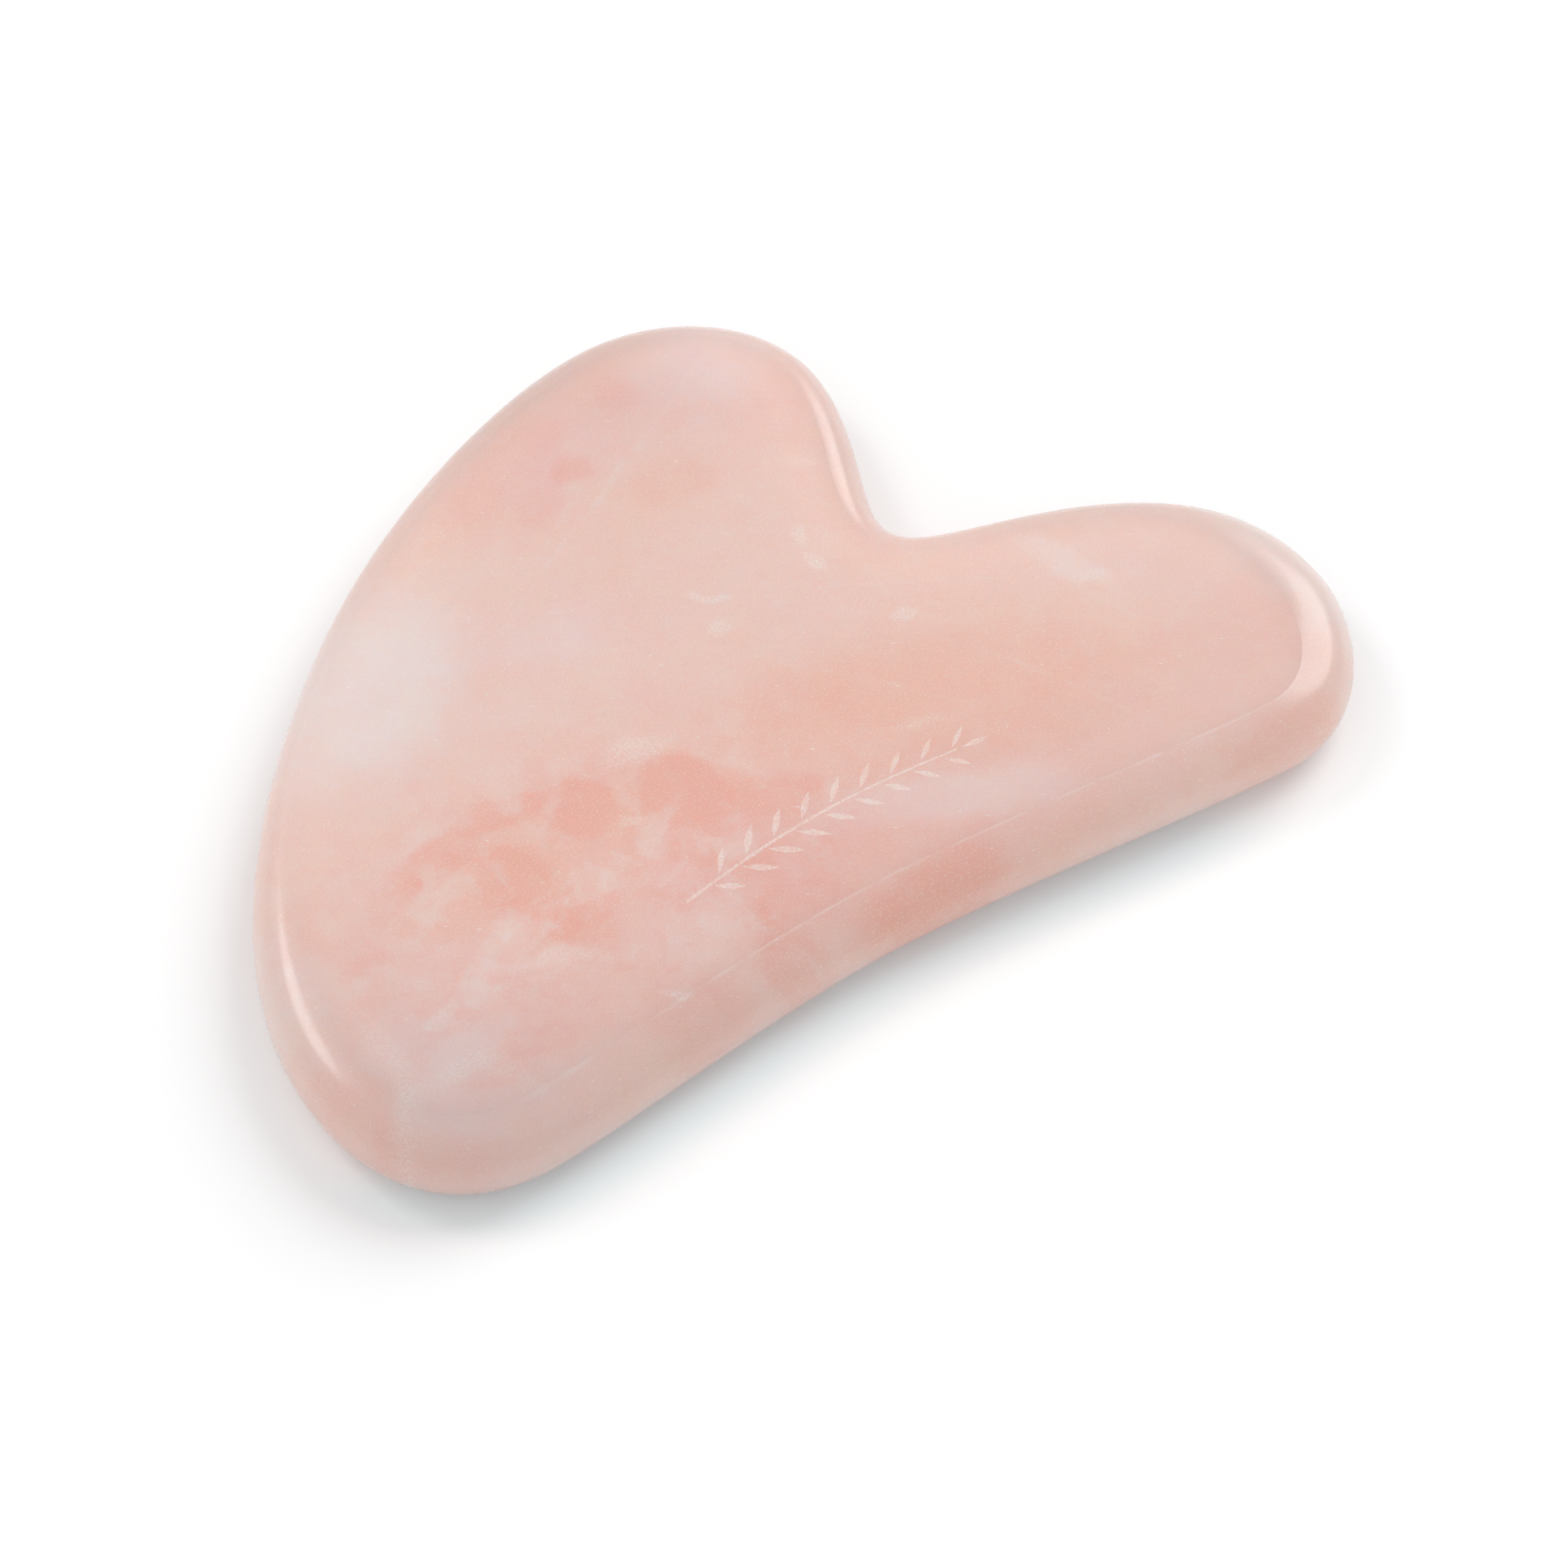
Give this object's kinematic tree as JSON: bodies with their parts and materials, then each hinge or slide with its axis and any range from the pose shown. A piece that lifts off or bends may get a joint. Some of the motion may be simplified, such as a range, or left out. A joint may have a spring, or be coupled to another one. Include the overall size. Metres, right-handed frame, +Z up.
{
  "type": "gua sha scraper",
  "caption": "Flat heart-shaped massage stone with a polished rolled rim, a cleft between its lobes and one long hollow side.",
  "frame": {"origin": "on the lower flat face, under the middle of the outline's bounding box", "axes": "+X along the hollow side from the heel to the small lobe, +Y across to the big lobe, +Z up through the thickness"},
  "size_m": [0.08, 0.055, 0.006],
  "materials": {
    "rose_quartz": "polished, slightly translucent, with pale clouds, darker pink patches and fine white veins"
  },
  "bodies": {
    "root": {"scraper_stone": "rose_quartz"}
  },
  "joints": []
}
